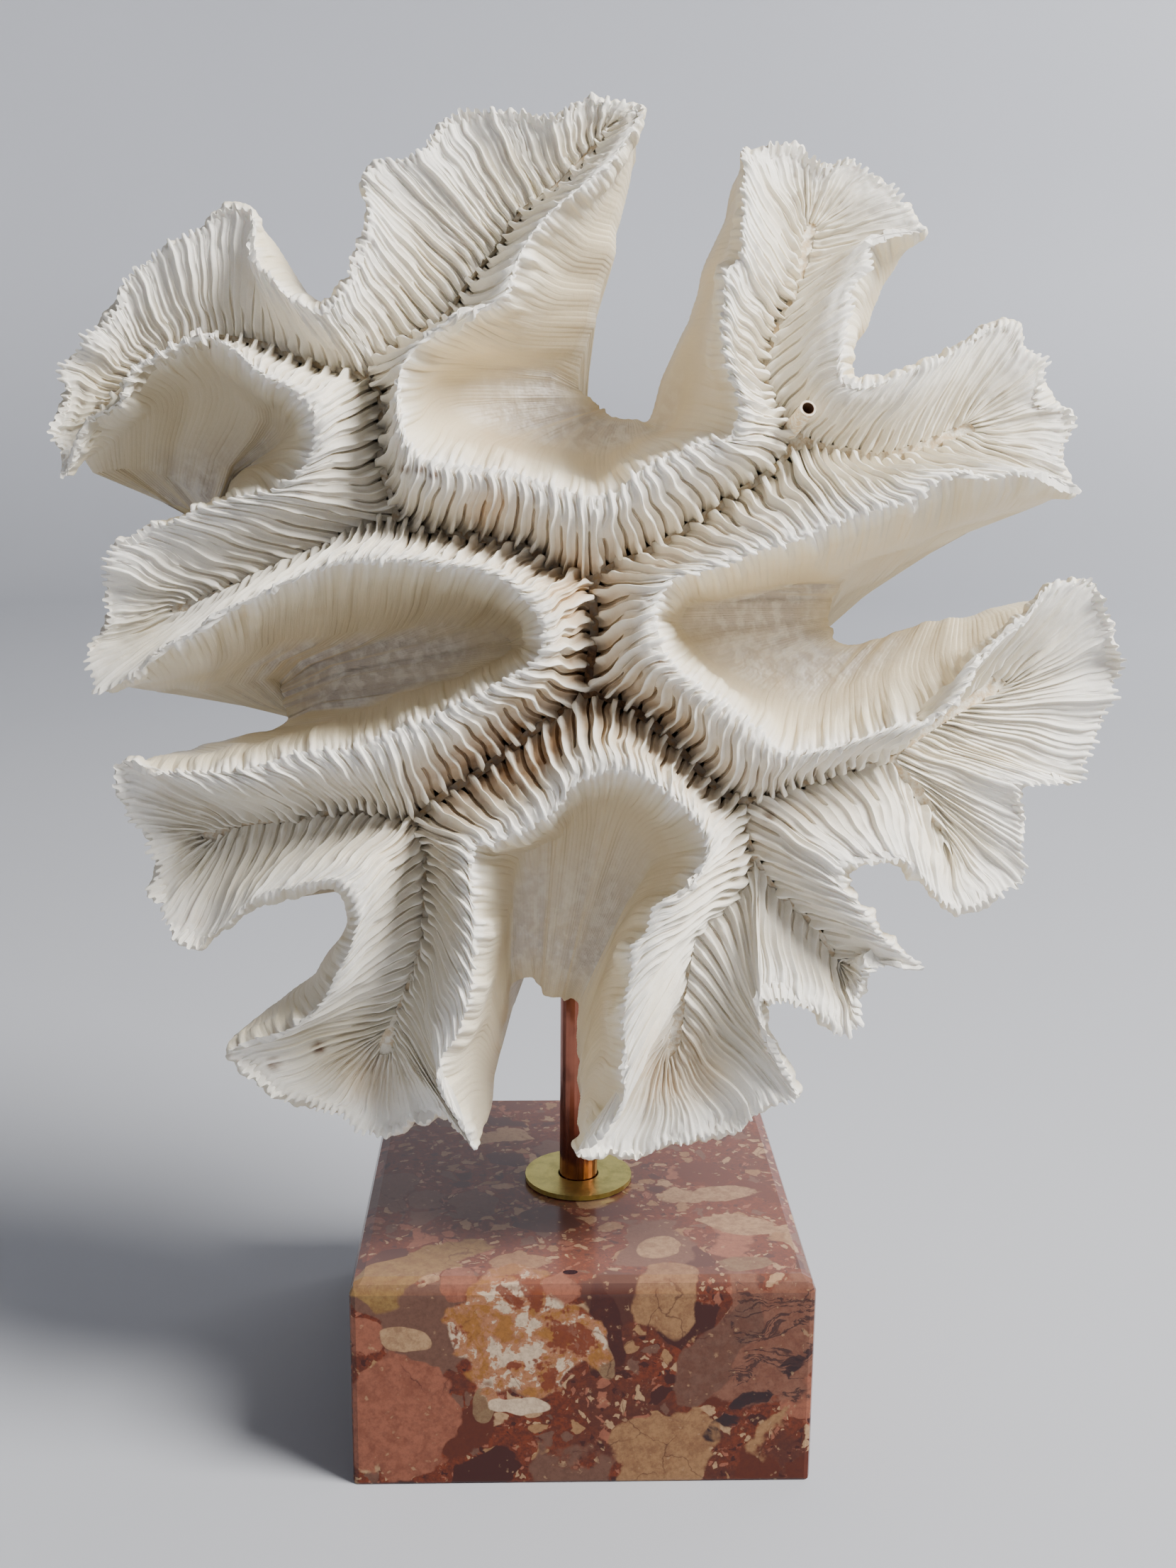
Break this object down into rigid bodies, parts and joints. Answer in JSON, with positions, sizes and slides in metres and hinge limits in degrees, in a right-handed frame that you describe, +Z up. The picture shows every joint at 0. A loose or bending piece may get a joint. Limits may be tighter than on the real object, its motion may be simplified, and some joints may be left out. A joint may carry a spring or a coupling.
{
  "type": "brain coral on a stand",
  "caption": "Display specimen: white folded brain coral skeleton held by an upright copper rod with a brass disc on a square red marble block.",
  "frame": {"origin": "middle of the marble block's underside, on the surface that the stand rests on", "axes": "+Z up along the rod; +X to the right and -Y toward someone who looks at the coral's face"},
  "size_m": [0.1965, 0.0917, 0.2566],
  "materials": {
    "coral": "matte",
    "worm_tube": "matte",
    "copper_rod": "polished",
    "brass_disc": "satin",
    "marble": "polished"
  },
  "bodies": {
    "root": {"coral_core": "coral", "coral_lobe_top_left": "coral", "coral_lobe_upper_left": "coral", "coral_lobe_left": "coral", "coral_lobe_lower_left": "coral", "coral_lobe_bottom_left": "coral", "coral_lobe_bottom_right": "coral", "coral_spur_low_right": "coral", "coral_lobe_right": "coral", "coral_lobe_upper_right": "coral", "coral_lobe_top_right": "coral", "worm_tube": "worm_tube", "copper_rod": "copper_rod", "brass_disc": "brass_disc", "marble_block": "marble"}
  },
  "joints": []
}
